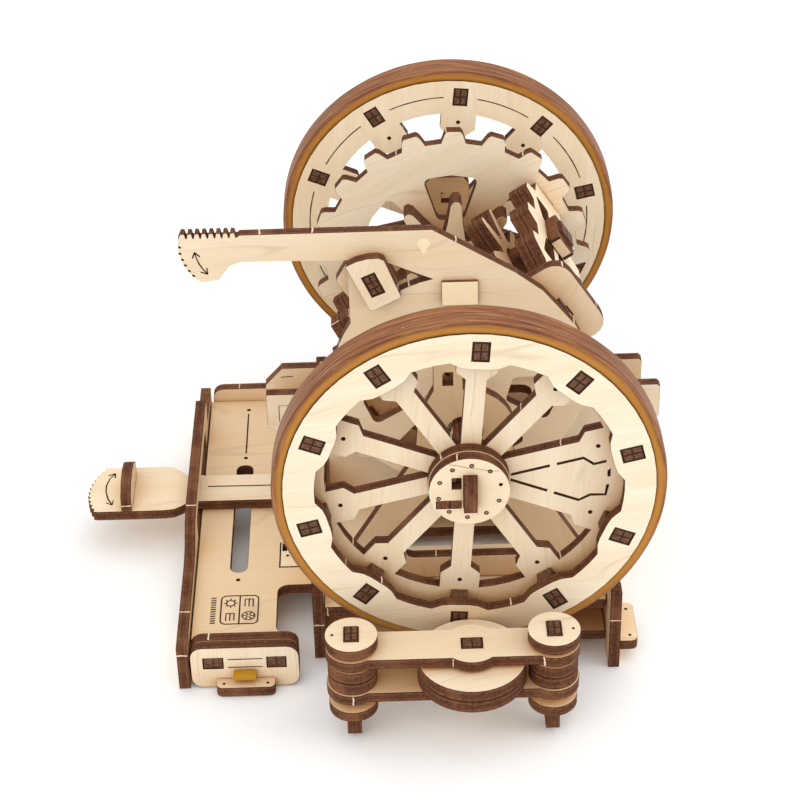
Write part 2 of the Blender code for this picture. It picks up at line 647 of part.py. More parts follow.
def build_frame():
    def rail(name, x0, front):
        outline = [
            (front, -66.0), (front + 9.0, -66.0), (front + 12.0, -63.4), (118.0, -63.4), (121.0, -66.0),
            (131.6, -66.0), (131.6, -46.0), (128.0, -42.6), (96.0, -42.6), (91.0, -36.0), (56.0, -36.0),
            (51.0, -42.6), (front + 8.0, -42.6), (front + 4.6, -40.4), (front, -40.4),
        ]
        sheet(name, outline, [], "X", x0)

    rail("frame_rail_right", 37.4, 7.7)
    rail("frame_rail_left", -41.3, 14.8)
    deck = box(-38.0, 14.8, 37.1, 131.0)
    hollow = fillet(box(-24.0, 40.0, 24.0, 62.0), 3.0, 3)
    hollow_b = fillet(box(-24.0, 84.0, 24.0, 118.0), 3.0, 3)
    sheet("frame_deck_upper", deck, [hollow, hollow_b], "Z", DECK_Z)
    hollow = fillet(box(-24.0, 30.0, 24.0, 62.0), 3.0, 3)
    sheet("frame_deck_lower", deck, [hollow, hollow_b], "Z", LOW_DECK_Z)
    deck_top = DECK_Z + T + GAP

    def bearing(name, y0, finger):
        outline = [(-31.0, deck_top), (31.0, deck_top), (31.0, -38.0), (13.0, -8.0)]
        outline += arc(13.0, math.radians(-18), math.radians(90 if finger else 64), 8)
        if not finger:
            outline += [(5.7, 18.6), (4.0, 20.6), (-5.4, 20.6), (-7.2, 18.6)]
            outline += arc(13.0, math.radians(124), math.radians(198), 5)
        if finger:
            outline += [(-0.4, 13.0), (-0.6, 19.5)]
            outline += arc(3.7, math.radians(0), math.radians(180), 6, (-4.3, 20.0))
            outline += [(-8.0, 13.0), (-12.0, 5.0)]
        outline += [(-13.0, -8.0), (-31.0, -38.0)]
        holes = [circle(BORE, 24)]
        holes.append(fillet([(-17.0, -41.0), (17.0, -41.0), (8.0, -20.0), (-8.0, -20.0)], 2.0, 3))
        holes.append(box(-5.6, 14.4, -3.0, 18.4) if finger else box(-2.4, 12.2, 2.0, 15.6))
        sheet(name, outline, holes, "Y", y0)

    bearing("bearing_front", 26.0, True)
    bearing("bearing_rear", 124.5, False)

    def ears(name, y0, left, right, top, chamfer):
        low = -26.6
        bow = math.asin(-top / R_EAR)
        outline = [
            (-36.8, deck_top), (36.8, deck_top), (36.8, -31.0), (41.4, low),
            (right - 2.0, low), (right, low + 2.0), (right, top - 0.8), (right - 0.8, top),
        ]
        outline += arc(R_EAR, -bow, bow - math.pi, 18)
        outline += [
            (-left + chamfer * 0.9, top), (-left, top - chamfer),
            (-left, low + 2.0), (-left + 2.0, low), (-41.4, low), (-36.8, -31.0),
        ]
        sheet(name, outline, [], "Y", y0)

    ears("ear_plate_front", 66.0, 53.4, 56.0, -14.2, 0.3)
    ears("ear_plate_rear", 77.0, 54.0, 52.0, -12.8, 5.4)
    marks = [box(-50.4, 47.5, -49.1, 50.7), circle(0.45, 8, (-48.9, 45.4))]
    sheet("tray_lock_plate", grown(LOCK, 0.0), marks, "Z", TRAY_Z + 0.1)
    tab = fillet(box(40.7, 10.4, 45.6, 26.4), [0.4, 1.8, 1.8, 0.4], 3)
    sheet("side_cradle", tab, [circle(0.4, 8, (43.6, 12.8)), circle(0.4, 8, (43.6, 23.6))], "Z", -62.2)


def glued_pair(name, radius, centre, hole, low, pivot=(0.0, 0.0, 0.0)):
    """Two discs glued face to face, with a fine groove where they meet."""
    count = 48 if radius > 10.0 else 36
    seam = 0.25
    half = (PAIR - 0.5 - seam) / 2
    bm = bmesh.new()
    levels = [(radius, 0.0), (radius, half), (radius - seam, half), (radius - seam, half + seam)]
    levels += [(radius, half + seam), (radius, 2 * half + seam)]
    rings = []
    for r, z in levels:
        rings.append([bm.verts.new((px, py, low + z)) for px, py in circle(r, count, centre)])
    inner = [[bm.verts.new((px, py, low + z)) for px, py in hole] for z in (0.0, 2 * half + seam)]
    for here, there in zip(rings, rings[1:]):
        for i in range(count):
            bm.faces.new((here[i], here[(i + 1) % count], there[(i + 1) % count], there[i]))
    size = len(hole)
    for i in range(size):
        bm.faces.new((inner[0][i], inner[1][i], inner[1][(i + 1) % size], inner[0][(i + 1) % size]))
    flat = [[Vector((px, py, 0.0)) for px, py in loop] for loop in (circle(radius, count, centre), hole)]
    for a, b, c in tessellate_polygon(flat):
        low_loop = rings[0] + inner[0]
        high_loop = rings[-1] + inner[1]
        bm.faces.new((low_loop[a], low_loop[b], low_loop[c]))
        bm.faces.new((high_loop[c], high_loop[b], high_loop[a]))
    return finish(name, bm, PLY, 0.62, pivot)


def build_truck():
    top = TRUCK_TOP
    y = TRUCK_Y
    z_disc = top - T
    z_link = z_disc - T - 1.0
    z_pair = z_link - GAP - PAIR
    z_low = z_pair - GAP - T
    z_foot = z_low - 2.9 - T
    pin_wide = 3.6
    pin_deep = 5.6

    def link():
        left, right = POST_X
        turn = math.asin(LINK_HALF / 6.7)
        bulge = math.asin(LINK_HALF / LINK_LOBE)
        outline = arc(6.7, turn, 2 * math.pi - turn, 16, (left, y))
        outline += arc(LINK_LOBE, math.pi + bulge, 2 * math.pi - bulge, 10, (ROLLER_X, y))
        outline += arc(6.7, math.pi + turn, 3 * math.pi - turn, 16, (right, y))
        outline += arc(LINK_LOBE, bulge, math.pi - bulge, 10, (ROLLER_X, y))
        return outline

    def pin_box(x, air):
        half_x = pin_wide / 2 + air
        half_y = pin_deep / 2 + air
        return box(x - half_x, y - half_y, x + half_x, y + half_y)

    pins = [pin_box(x, 0.15) for x in POST_X]
    hub = circle(3.6, 18, (ROLLER_X, y))
    hub_hole = box(ROLLER_X - 2.75, y - 2.05, ROLLER_X + 2.75, y + 2.05)
    sheet("truck_link_upper", link(), pins + [hub_hole], "Z", z_link)
    sheet("truck_link_lower", link(), pins + [hub_hole], "Z", z_low)
    tie = fillet([(-8.0, y - 4.6), (8.0, y - 4.6), (8.0, 30.0), (-8.0, 30.0)], 2.0, 2)
    sheet("truck_tie", tie, [], "Z", z_low - LAYER - 0.2)
    for side, x, out in (("left", POST_X[0], -1.0), ("right", POST_X[1], 1.0)):
        hole = pin_box(x, 0.15)
        peg = circle(0.4, 8, (x + out * 4.8, y))
        sheet("truck_cap_" + side, circle(6.65, 36, (x, y)), [hole, peg], "Z", z_disc)
        glued_pair("truck_spacer_" + side, 6.3, (x, y), hole, z_pair)
        stack("truck_post_" + side, [
            (pin_box(x, 0.0), POST_FOOT, top + 0.4 - POST_FOOT),
            (circle(6.3, 36, (x, y)), z_foot, T),
        ], "Z")
    glued_pair("truck_roller", R_ROLLER, (ROLLER_X, y), hub, z_pair - 0.1, (ROLLER_X, y, z_pair))
    bm = bmesh.new()
    add_slab(bm, circle(3.4, 18, (ROLLER_X, y)), [], "Z", z_pair - 0.15, PAIR + 0.3)
    pin = finish("truck_roller_pin", bm, PLY, 0.62)
    ends = bmesh.new()
    add_slab(ends, box(ROLLER_X - 2.6, y - 1.9, ROLLER_X + 2.6, y + 1.9), [], "Z", z_low,
             z_link + T + 0.3 - z_low)
    weld(pin, ends, (0.0, 0.0, 0.0))
    washer = bmesh.new()
    add_slab(washer, circle(6.6, 36, (ROLLER_X, y)), [], "Z", z_link - 0.6, 0.4)
    weld(pin, washer, (0.0, 0.0, 0.0))


clear_scene()
build_wheels()
build_side_gears()
build_cage()
build_upper_lever()
build_lower_lever()
build_tray()
build_frame()
build_truck()
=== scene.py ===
"""Looks for a laser-cut plywood differential puzzle.

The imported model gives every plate, pin, gear and tyre. This script dresses them: birch faces with grain,
burnt edges with their plies, amber rubber tyres, engraved lines, glued pin ends and the small bridges that
held each plate in its sheet. Lengths are millimetres from the hub of the near wheel, and at() turns them
into metres.
"""

import json
import math
import random

import bmesh
import bpy
import numpy as np
from mathutils import Matrix, Vector


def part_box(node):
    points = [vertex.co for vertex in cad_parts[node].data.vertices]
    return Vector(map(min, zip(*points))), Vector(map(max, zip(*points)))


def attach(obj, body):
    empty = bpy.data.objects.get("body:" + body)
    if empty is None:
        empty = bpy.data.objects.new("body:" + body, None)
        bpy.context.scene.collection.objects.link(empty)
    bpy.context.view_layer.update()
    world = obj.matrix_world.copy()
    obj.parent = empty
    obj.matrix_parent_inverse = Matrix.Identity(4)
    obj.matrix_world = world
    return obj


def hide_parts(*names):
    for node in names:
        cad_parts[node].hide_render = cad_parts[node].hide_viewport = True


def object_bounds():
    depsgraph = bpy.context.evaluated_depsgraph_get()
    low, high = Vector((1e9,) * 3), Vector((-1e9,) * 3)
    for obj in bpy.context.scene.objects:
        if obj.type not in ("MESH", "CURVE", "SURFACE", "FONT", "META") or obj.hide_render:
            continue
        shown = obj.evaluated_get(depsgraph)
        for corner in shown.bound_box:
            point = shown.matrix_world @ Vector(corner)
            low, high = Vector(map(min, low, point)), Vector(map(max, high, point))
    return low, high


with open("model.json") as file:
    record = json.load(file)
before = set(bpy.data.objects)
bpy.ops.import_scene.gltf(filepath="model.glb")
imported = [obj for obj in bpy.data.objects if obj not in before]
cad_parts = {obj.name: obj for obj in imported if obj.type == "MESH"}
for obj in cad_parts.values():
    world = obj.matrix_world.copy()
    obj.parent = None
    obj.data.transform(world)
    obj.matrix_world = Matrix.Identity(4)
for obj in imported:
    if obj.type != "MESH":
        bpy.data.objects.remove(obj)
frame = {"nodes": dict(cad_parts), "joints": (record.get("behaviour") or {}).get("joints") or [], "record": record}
CAD_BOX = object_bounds()

MM = 0.001
SHEET = 3.0                                  # ply thickness
BAND_RADIUS = 49.5                           # round which a tyre's streaks run
RIM_PIN_RADIUS = 41.5                        # wheel axis to the middle of a rim pin
RIM_PIN = (5.2, 3.9)                         # radial and tangential
RIM_PHASE = {"front": 0.069, "rear": 0.091}  # how far a wheel's first pin is past the top, in radians
SPACER_TAB_RADIUS = 37.75
POST_PIN = (3.5, 5.5)
ROLLER_PIN = (5.1, 3.7)
SHOE_PIN = (3.3, 6.1)
SHOE_PIN_AT = (-22.6, 32.3)                  # right of and above the hub
SHOE_PIN_TURN = math.radians(24)
SPIDER_PIN = (5.8, 5.8)
SPIDER_PIN_REACH = 37.4                      # cage axis to the end of a spider axle
HUB_RING_RADIUS = 7.95                       # wheel axis to the small engraved rings
TRAY_SLOTS = ((-70.6, -65.2), (-53.7, -48.5))
TRAY_TENON_Z = -57.45
NODES = frame["nodes"]
BODY_OF = {}
for body_name, members in frame["record"]["behaviour"]["bodies"].items():
    for member in members:
        BODY_OF[member] = body_name

ring_low, ring_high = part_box("front_rim_ring")
HUB = Vector(((ring_low.x + ring_high.x) / 2, ring_low.y, (ring_low.z + ring_high.z) / 2))
GROUND = CAD_BOX[0].z

tilt_joint = next(j for j in frame["joints"] if j["name"] == "spider_a_spin")
TILT = Vector(tilt_joint["axis"]).normalized()
AXES = {
    "X": (Vector((1, 0, 0)), Vector((0, 1, 0)), Vector((0, 0, 1))),
    "Y": (Vector((0, 1, 0)), Vector((1, 0, 0)), Vector((0, 0, 1))),
    "Z": (Vector((0, 0, 1)), Vector((1, 0, 0)), Vector((0, 1, 0))),
    "T": (TILT, Vector((0, 1, 0)), Vector((-TILT.z, 0, TILT.x))),
}


def at(x, y, z):
    """A point in metres, from millimetres right of, behind and above the near wheel's hub."""
    return HUB + Vector((x, y, z)) * MM


# ---------------------------------------------------------------- materials


class Shader:
    """A material's node tree, with short ways to add nodes."""

    def __init__(self, name):
        self.material = bpy.data.materials.new(name)
        self.material.use_nodes = True
        self.tree = self.material.node_tree
        self.principled = self.tree.nodes["Principled BSDF"]

    def join(self, source, target):
        if isinstance(source, (int, float)):
            target.default_value = source
        elif isinstance(source, (tuple, Vector)):
            target.default_value = source
        else:
            self.tree.links.new(source, target)

    def attribute(self, name, output="Vector"):
        node = self.tree.nodes.new("ShaderNodeAttribute")
        node.attribute_name = name
        return node.outputs[output]

    def math(self, operation, a, b=0.0, c=0.0, clamp=False):
        node = self.tree.nodes.new("ShaderNodeMath")
        node.operation = operation
        node.use_clamp = clamp
        for value, socket in zip((a, b, c), node.inputs):
            self.join(value, socket)
        return node.outputs[0]

    def stretch(self, vector, scale, offset=(0.0, 0.0, 0.0)):
        node = self.tree.nodes.new("ShaderNodeMapping")
        self.join(vector, node.inputs["Vector"])
        node.inputs["Scale"].default_value = scale
        node.inputs["Location"].default_value = offset
        return node.outputs[0]

    def noise(self, vector, scale=1.0, detail=2.0, rough=0.5, distort=0.0):
        node = self.tree.nodes.new("ShaderNodeTexNoise")
        self.join(vector, node.inputs["Vector"])
        node.inputs["Scale"].default_value = scale
        node.inputs["Detail"].default_value = detail
        node.inputs["Roughness"].default_value = rough
        node.inputs["Distortion"].default_value = distort
        return node.outputs["Fac"]

    def painted_recess_shade(self, reach):
        """Painted shade: 0 on an open face, towards 1 deep in a recess, reach in millimetres."""
        node = self.tree.nodes.new("ShaderNodeAmbientOcclusion")
        node.samples = 6
        node.inputs["Distance"].default_value = reach * MM
        return self.math("SUBTRACT", 1.0, node.outputs["AO"])

    def split(self, vector):
        node = self.tree.nodes.new("ShaderNodeSeparateXYZ")
        self.join(vector, node.inputs[0])
        return node.outputs

    def combine(self, x, y, z):
        node = self.tree.nodes.new("ShaderNodeCombineXYZ")
        for value, socket in zip((x, y, z), node.inputs):
            self.join(value, socket)
        return node.outputs[0]

    def span(self, value, low, high, smooth=True):
        """0 at low and below, 1 at high and above."""
        node = self.tree.nodes.new("ShaderNodeMapRange")
        node.interpolation_type = "SMOOTHSTEP" if smooth else "LINEAR"
        self.join(value, node.inputs["Value"])
        node.inputs["From Min"].default_value = low
        node.inputs["From Max"].default_value = high
        return node.outputs[0]

    def mix(self, factor, first, second, blend="MIX"):
        node = self.tree.nodes.new("ShaderNodeMix")
        node.data_type = "RGBA"
        node.blend_type = blend
        self.join(factor, node.inputs["Factor"])
        sockets = [s for s in node.inputs if s.type == "RGBA"]
        for value, socket in zip((first, second), sockets):
            self.join((*value, 1.0) if isinstance(value, tuple) and len(value) == 3 else value, socket)
        return next(s for s in node.outputs if s.type == "RGBA")

    def finish(self, colour, rough, height=None, depth=0.02, coat=0.0, specular=0.35):
        shader = self.principled
        self.join(colour, shader.inputs["Base Color"])
        self.join(rough, shader.inputs["Roughness"])
        shader.inputs["Specular IOR Level"].default_value = specular
        shader.inputs["Coat Weight"].default_value = coat
        if height is not None:
            bump = self.tree.nodes.new("ShaderNodeBump")
            bump.inputs["Strength"].default_value = 1.0
            bump.inputs["Distance"].default_value = depth * MM
            self.join(height, bump.inputs["Height"])
            self.tree.links.new(bump.outputs[0], shader.inputs["Normal"])
        return self.material


def birch_face():
    """Rotary-cut birch veneer: pale, with fine fibres, loose growth lines and short pores."""
    s = Shader("birch_face")
    grain = s.attribute("grain")
    tone_and_shade = s.attribute("tone_and_shade", "Fac")
    u, v, w = s.split(grain)
    sway = s.noise(s.stretch(grain, (0.022, 0.05, 0.05)), detail=2.0)
    v2 = s.math("ADD", v, s.math("MULTIPLY", s.math("SUBTRACT", sway, 0.5), 13.0))
    flow = s.combine(u, v2, w)
    bands = s.noise(s.stretch(flow, (0.010, 0.11, 0.1)), detail=3.0, rough=0.6)
    fibre = s.noise(s.stretch(flow, (0.07, 1.9, 0.4)), detail=5.0, rough=0.72)
    rings = s.noise(s.stretch(flow, (0.0045, 0.045, 0.1)), detail=1.0, rough=0.4)
    contour = s.math("FRACT", s.math("MULTIPLY", rings, 11.0))
    line = s.math("SUBTRACT", 1.0, s.span(s.math("ABSOLUTE", s.math("SUBTRACT", contour, 0.5)), 0.0, 0.07))
    fade = s.span(s.noise(s.stretch(flow, (0.03, 0.09, 0.1), (9.0, 4.0, 2.0)), detail=3.0), 0.46, 0.64)
    line = s.math("MULTIPLY", line, fade)
    pores = s.span(s.noise(s.stretch(flow, (0.38, 5.2, 1.0)), detail=2.0, rough=0.5), 0.66, 0.78)
    colour = s.mix(s.span(bands, 0.34, 0.68), (0.875, 0.770, 0.598), (0.830, 0.690, 0.492))
    # darker, warmer birch where the tone attribute is high: partly a sheet's own tone, partly painted shade on
    # plates in shade
    colour = s.mix(s.math("MULTIPLY", tone_and_shade, 0.75), colour, (0.700, 0.475, 0.250))
    colour = s.mix(s.math("MULTIPLY", s.span(fibre, 0.42, 0.75), 0.40), colour, (0.70, 0.49, 0.28))
    colour = s.mix(s.math("MULTIPLY", line, 0.36), colour, (0.47, 0.32, 0.19))
    colour = s.mix(s.math("MULTIPLY", pores, 0.46), colour, (0.46, 0.29, 0.15))
    # painted shade: faces turn darker and browner deep in recesses, from ambient occlusion
    colour = s.mix(s.span(s.painted_recess_shade(16.0), 0.14, 0.94, False), colour, (0.78, 0.52, 0.27), "MULTIPLY")
    rough = s.math("ADD", 0.50, s.math("MULTIPLY", fibre, 0.2))
    height = s.math("SUBTRACT", fibre, s.math("MULTIPLY", pores, 0.7))
    return s.finish(colour, rough, height, 0.035)


def burnt_edge():
    """The laser-cut edge: three charred veneers with dark glue lines, and fine stripes across the ply."""
    s = Shader("burnt_edge")
    grain = s.attribute("grain")
    w = s.split(grain)[2]
    wander = s.noise(s.stretch(grain, (0.25, 0.25, 0.25)), detail=2.0)
    level = s.math("FRACT", s.math("DIVIDE", w, SHEET))
    depth = s.math("ABSOLUTE", s.math("SUBTRACT", level, 0.5))
    soft = s.math("ADD", depth, s.math("MULTIPLY", s.math("SUBTRACT", wander, 0.5), 0.05))
    outer = s.span(soft, 0.15, 0.19)
    glue = s.math("SUBTRACT", 1.0, s.span(s.math("ABSOLUTE", s.math("SUBTRACT", soft, 0.17)), 0.0, 0.045))
    char = s.span(soft, 0.40, 0.47)
    stripes = s.noise(s.stretch(grain, (2.6, 2.6, 0.22)), detail=3.0, rough=0.6)
    speckle = s.noise(s.stretch(grain, (0.9, 0.9, 2.6)), detail=4.0, rough=0.75)
    patch = s.noise(s.stretch(grain, (0.09, 0.09, 0.05)), detail=2.0)
    light = s.mix(s.span(speckle, 0.34, 0.70), (0.086, 0.028, 0.012), (0.225, 0.086, 0.036))
    dark = s.mix(s.span(speckle, 0.36, 0.72), (0.062, 0.021, 0.010), (0.170, 0.062, 0.026))
    colour = s.mix(outer, dark, light)
    colour = s.mix(s.math("MULTIPLY", glue, 0.45), colour, (0.040, 0.015, 0.008))
    colour = s.mix(s.math("MULTIPLY", s.span(stripes, 0.46, 0.66), 0.45), colour, (0.042, 0.016, 0.009))
    colour = s.mix(s.math("MULTIPLY", s.span(patch, 0.48, 0.70), 0.32), colour, (0.330, 0.140, 0.060))
    colour = s.mix(s.math("MULTIPLY", char, 0.85), colour, (0.028, 0.011, 0.006))
    rough_height = s.math("ADD", speckle, s.math("MULTIPLY", stripes, 0.8))
    height = s.math("ADD", s.math("MULTIPLY", outer, 0.8), rough_height)
    return s.finish(colour, 0.75, height, 0.06, specular=0.15)


def end_grain():
    """Glued pin ends and tenons: charred brown with streaks along one ply."""
    s = Shader("end_grain")
    grain = s.attribute("grain")
    streak = s.noise(s.stretch(grain, (0.7, 4.5, 1.0)), detail=4.0, rough=0.7)
    spots = s.noise(s.stretch(grain, (2.2, 2.2, 2.2)), detail=2.0)
    colour = s.mix(s.span(streak, 0.36, 0.70), (0.034, 0.013, 0.007), (0.240, 0.104, 0.044))
    colour = s.mix(s.math("MULTIPLY", s.span(spots, 0.56, 0.72), 0.4), colour, (0.400, 0.200, 0.095))
    return s.finish(colour, 0.6, specular=0.3)


def char_line():
    """Engraved lines and the soot round a glued pin."""
    s = Shader("char_line")
    soot = s.noise(s.attribute("grain"), scale=1.4, detail=3.0, rough=0.7)
    colour = s.mix(soot, (0.016, 0.007, 0.004), (0.060, 0.026, 0.014))
    return s.finish(colour, 0.85, specular=0.15)


def torn_wood():
    """Pale broken fibre, where a bridge to the sheet snapped."""
    s = Shader("torn_wood")
    grain = s.attribute("grain")
    fibre = s.noise(s.stretch(grain, (1.2, 1.2, 6.0)), detail=4.0, rough=0.7)
    colour = s.mix(fibre, (0.62, 0.42, 0.25), (0.95, 0.80, 0.62))
    return s.finish(colour, 0.7)


def amber_rubber():
    """Band rubber: amber at the rims, brown and streaked round the tread; tone 1 gives plain honey rubber."""
    s = Shader("amber_rubber")
    grain = s.attribute("grain")
    around, across, out = s.split(grain)
    angle = s.math("DIVIDE", around, BAND_RADIUS)
    x = s.math("MULTIPLY", s.math("SINE", angle), BAND_RADIUS)
    z = s.math("MULTIPLY", s.math("COSINE", angle), BAND_RADIUS)
    hoop = s.combine(x, s.math("ADD", across, s.math("MULTIPLY", out, 0.8)), z)
    waver = s.noise(s.stretch(hoop, (0.05, 0.12, 0.05)), detail=3.0)
    drift = s.math("MULTIPLY", s.math("SUBTRACT", waver, 0.5), 1.6)
    high = s.math("ADD", out, drift)
    near = s.span(s.math("ADD", high, across), 1.1, 2.7)
    far = s.span(s.math("SUBTRACT", s.math("ADD", high, 9.6), across), 2.5, 4.0)
    inside = s.math("MULTIPLY", near, far)
    bend = s.noise(s.stretch(hoop, (0.022, 0.10, 0.022)), detail=2.0)
    lane = s.combine(x, s.math("ADD", s.split(hoop)[1], s.math("MULTIPLY", bend, 5.0)), z)
    streak = s.noise(s.stretch(lane, (0.024, 1.1, 0.024)), detail=4.0, rough=0.7)
    thread = s.noise(s.stretch(lane, (0.075, 2.6, 0.075)), detail=3.0, rough=0.65)
    speck = s.noise(s.stretch(lane, (0.55, 2.2, 0.55)), detail=2.0, rough=0.6)
    amber = s.mix(s.noise(s.stretch(hoop, (0.06, 0.5, 0.06)), detail=3.0), (0.330, 0.128, 0.014),
                  (0.530, 0.240, 0.042))
    tread = s.mix(s.span(streak, 0.34, 0.66), (0.130, 0.040, 0.014), (0.330, 0.126, 0.044))
    tread = s.mix(s.math("MULTIPLY", s.span(thread, 0.52, 0.66), 0.6), tread, (0.500, 0.240, 0.095))
    tread = s.mix(s.math("MULTIPLY", s.math("SUBTRACT", 1.0, s.span(thread, 0.32, 0.46)), 0.6), tread,
                  (0.075, 0.026, 0.012))
    tread = s.mix(s.math("MULTIPLY", s.span(speck, 0.68, 0.76), 0.6), tread, (0.720, 0.480, 0.290))
    honey = s.mix(thread, (0.32, 0.145, 0.004), (0.55, 0.275, 0.010))
    colour = s.mix(inside, amber, tread)
    colour = s.mix(s.attribute("tone_and_shade", "Fac"), colour, honey)
    rough = s.math("ADD", 0.38, s.math("MULTIPLY", streak, 0.25))
    height = s.math("ADD", streak, s.math("MULTIPLY", thread, 0.5))
    material = s.finish(colour, rough, height, 0.16, specular=0.2)
    s.principled.inputs["Subsurface Weight"].default_value = 0.08
    s.principled.inputs["Subsurface Radius"].default_value = (1.0, 0.45, 0.12)
    s.principled.inputs["Subsurface Scale"].default_value = 1.2 * MM
    return material


def pale_card():
    """The pad on the upper lever and the small patch beside it."""
    s = Shader("pale_card")
    grain = s.attribute("grain")
    fibre = s.noise(s.stretch(grain, (0.5, 0.8, 1.0)), detail=5.0, rough=0.7)
    nicks = s.span(s.noise(s.stretch(grain, (1.6, 0.7, 1.0)), detail=3.0, rough=0.6), 0.68, 0.74)
    colour = s.mix(fibre, (0.87, 0.70, 0.45), (0.98, 0.84, 0.60))
    colour = s.mix(s.math("MULTIPLY", nicks, 0.4), colour, (0.42, 0.30, 0.18))
    return s.finish(colour, 0.6, fibre, 0.03)


def studio_floor():
    s = Shader("studio_floor")
    place = s.tree.nodes.new("ShaderNodeTexCoord").outputs["Object"]
    tooth = s.noise(place, scale=180.0, detail=2.0)
    colour = s.mix(tooth, (0.900, 0.901, 0.903), (0.915, 0.916, 0.918))
    return s.finish(colour, 0.8, tooth, 0.01, specular=0.1)


FACE = birch_face()
EDGE = burnt_edge()
END = end_grain()
CHAR = char_line()
TORN = torn_wood()
RUBBER = amber_rubber()
CARD = pale_card()


# ---------------------------------------------------------------- plates

GRAIN_TURN = {
    "front_rim_ring": 9.0, "front_spoke_plate": 86.0, "rear_spoke_plate": 88.0, "ring_gear": 22.0,
    "upper_lever": 2.0, "front_hub_disc_outer": 4.0, "tray_end_front_a": 90.0, "tray_end_front_b": 90.0,
    "bearing_front": 90.0, "ear_plate_front": 0.0, "upper_lever_shoe": 60.0, "truck_roller": 12.0,
    "front_side_gear": 70.0, "rear_side_gear": 70.0, "cage_front_bar": 60.0,
}
# how far each plate goes to darker, warmer birch: partly a sheet's own tone, partly painted shade on plates that
# sit in shade inside the frame and the wheels
TONE_AND_SHADE = {
    "tray_floor": 0.85, "bearing_front": 0.80, "frame_deck_upper": 0.55, "frame_deck_lower": 0.75,
    "front_spoke_plate": 0.20, "front_rim_ring": 0.04, "upper_lever": 0.36, "truck_roller": 0.15,
    "cage_front_bar": 0.4, "front_side_gear": 0.3, "rear_spoke_plate": 0.2, "ring_gear": 0.0,
}


def offset(point):
    """Millimetres from the near wheel's hub."""
    return (point - HUB) / MM


def middle(node):
    low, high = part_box(node)
    return offset((low + high) / 2)


def slim_part(node, half_x, half_y):
    """A test for the pin that stands upright through the middle of a node."""
    centre = middle(node)

    def test(p):
        return abs(p.x - centre.x) < half_x and abs(p.y - centre.y) < half_y
    return test


# the glued pins in a node that has them: a test, the direction its plies are counted in, and their pitch
PINS = {
    "front_rim_pins": (lambda p: math.hypot(p.x, p.z) < 43.5, "X", 0.0, 3.0),
    "rear_rim_pins": (lambda p: math.hypot(p.x, p.z) < 43.5, "X", 0.0, 3.0),
    "front_axle": (lambda p: True, "X", 1.5, 3.4),
    "rear_axle": (lambda p: True, "X", 1.5, 3.4),
    "spider_axle_a": (lambda p: not 33.4 < abs(p.dot(TILT)) < 36.6, "Y", 0.0, 3.0),
    "spider_axle_b": (lambda p: not 33.4 < abs(p.dot(TILT)) < 36.6, "Y", 0.0, 3.0),
    "upper_lever_shoe_rear": (lambda p: p.y < 53.2, "X", 0.0, 1.7),
    "truck_post_left": (slim_part("truck_post_left", 1.95, 2.95), "X", 0.0, 1.8),
    "truck_post_right": (slim_part("truck_post_right", 1.95, 2.95), "X", 0.0, 1.8),
    "truck_roller_pin": (lambda p: True, "X", 0.0, 2.6),
}


def plate_axis(mesh):
    """The name of the direction that most of a plate's area faces."""
    shares = {name: 0.0 for name in AXES}
    for face in mesh.polygons:
        for name, (normal, _, _) in AXES.items():
            if abs(face.normal.dot(normal)) > 0.999:
                shares[name] += face.area
    return max(shares, key=shares.get)


def grain_frame(axis, turn):
    """Unit vectors along the grain, across it and through the sheet."""
    normal, first, second = AXES[axis]
    c = math.cos(math.radians(turn))
    s = math.sin(math.radians(turn))
    return first * c + second * s, second * c - first * s, normal


def set_vector(mesh, name, rows):
    layer = mesh.attributes.new(name, "FLOAT_VECTOR", "CORNER")
    layer.data.foreach_set("vector", np.asarray(rows, np.float32).ravel())


def set_tone_and_shade(mesh, value):
    layer = mesh.attributes.new("tone_and_shade", "FLOAT", "CORNER")
    layer.data.foreach_set("value", np.full(len(mesh.loops), value, np.float32))


def dress_plate(node, face_material):
    """Gives a ply node its faces, edges and grain, and returns where its torn bridges may sit."""
    obj = NODES[node]
    mesh = obj.data
    axis = "Z" if node.startswith("truck") else plate_axis(mesh)
    along, across, through = grain_frame(axis, GRAIN_TURN.get(node, 3.0))
    pick = random.Random(node)
    shift = (pick.uniform(0, 900), pick.uniform(0, 900))
    pin_test, pin_axis, pin_start, pin_pitch = PINS.get(node, (lambda p: False, "X", 0.0, 3.0))
    points = [offset(v.co) for v in mesh.vertices]
    centres = [offset(face.center) for face in mesh.polygons]
    pinned = [pin_test(c) for c in centres]
    levels = [points[i].dot(through) for f, p in zip(mesh.polygons, pinned) if not p for i in f.vertices]
    base = min(levels, default=0.0)
    height = max(levels, default=SHEET) - base
    sheets = max(1, round(height / SHEET))
    scale = SHEET * sheets / height if height < 9.0 else 1.0
    mesh.materials.clear()
    for material in (face_material, EDGE):
        mesh.materials.append(material)
    rows = np.zeros((len(mesh.loops), 3))
    bridges = []
    for face, centre, is_pin in zip(mesh.polygons, centres, pinned):
        level = centre.dot(through) - base
        outside = level < 0.02 or level > height - 0.02
        face.material_index = 0 if outside and not is_pin and abs(face.normal.dot(through)) > 0.7 else 1
        face.use_smooth = True
        if not is_pin and abs(face.normal.dot(through)) < 0.1 and height < 9.0 and face.normal.z > -0.9:
            corners = [points[i] for i in face.vertices]
            bridges.append((face.area, corners, face.normal.copy()))
        for loop in face.loop_indices:
            p = points[mesh.loops[loop].vertex_index]
            if is_pin:
                ply = (p.dot(AXES[pin_axis][0]) + pin_start) * SHEET / pin_pitch
                rows[loop] = (p.dot(AXES[axis][0]), p.x + p.y + p.z, ply)
            else:
                ply = (p.dot(through) - base) * scale
                rows[loop] = (p.dot(along) + shift[0], p.dot(across) + shift[1], ply)
    set_vector(mesh, "grain", rows)
    set_tone_and_shade(mesh, TONE_AND_SHADE.get(node, pick.uniform(0.1, 0.45)))
    soften(obj)
    return bridges, through, base, height, sheets


